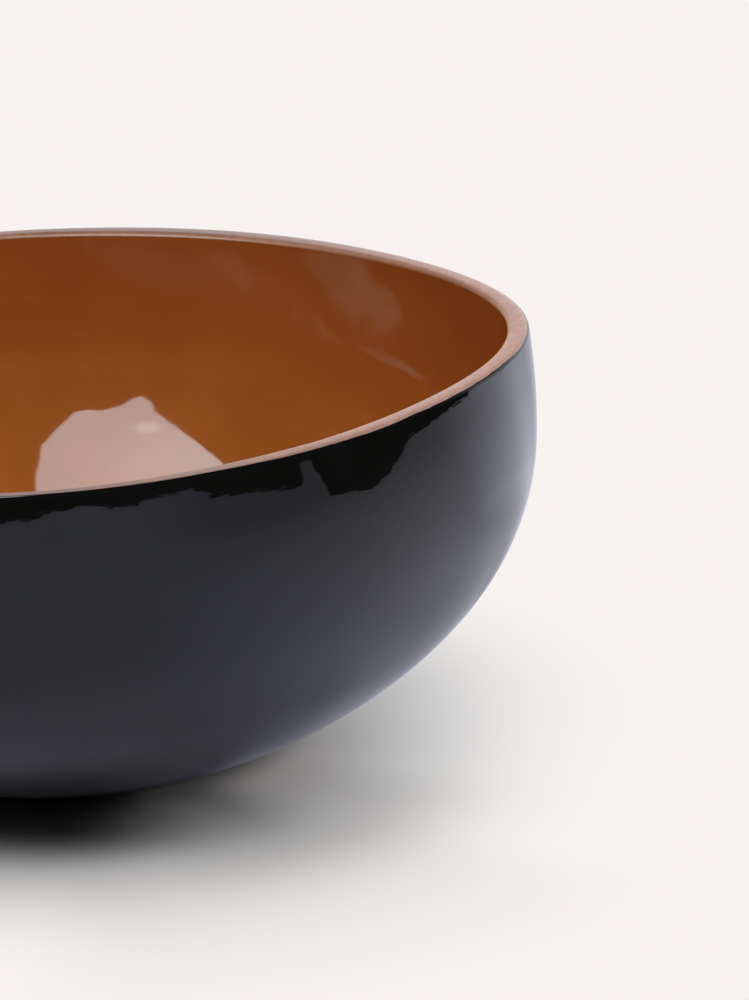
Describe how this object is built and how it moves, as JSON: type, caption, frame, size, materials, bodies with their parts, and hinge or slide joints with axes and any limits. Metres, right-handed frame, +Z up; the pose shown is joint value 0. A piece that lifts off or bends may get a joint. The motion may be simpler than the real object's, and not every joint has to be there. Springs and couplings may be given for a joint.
{
  "type": "coconut shell bowl",
  "caption": "Open bowl made from half a coconut shell, with a lobed plan, a flat ground base, gloss black lacquer outside and orange lacquer inside and on the rim.",
  "frame": {"origin": "middle of the flat ground under the bowl, where it meets the table", "axes": "+Z up through the open mouth, +X towards the longest of the shell's three lobes, which is also the thin side of the wall"},
  "size_m": [0.1476, 0.1352, 0.064],
  "materials": {
    "coconut_shell": "sanded coconut shell, fibrous outside and smooth inside",
    "filler_ground": "matt, sanded filler coat",
    "black_lacquer": "high gloss lacquer, faintly uneven",
    "orange_lacquer": "gloss orange-brown lacquer",
    "rim_lacquer": "gloss orange lacquer, rubbed along the edges"
  },
  "bodies": {
    "root": {"coconut_shell": "coconut_shell", "outer_ground": "filler_ground", "outer_lacquer": "black_lacquer", "inner_lacquer": "orange_lacquer", "rim_lacquer": "rim_lacquer", "base_lacquer": "black_lacquer"}
  },
  "joints": []
}
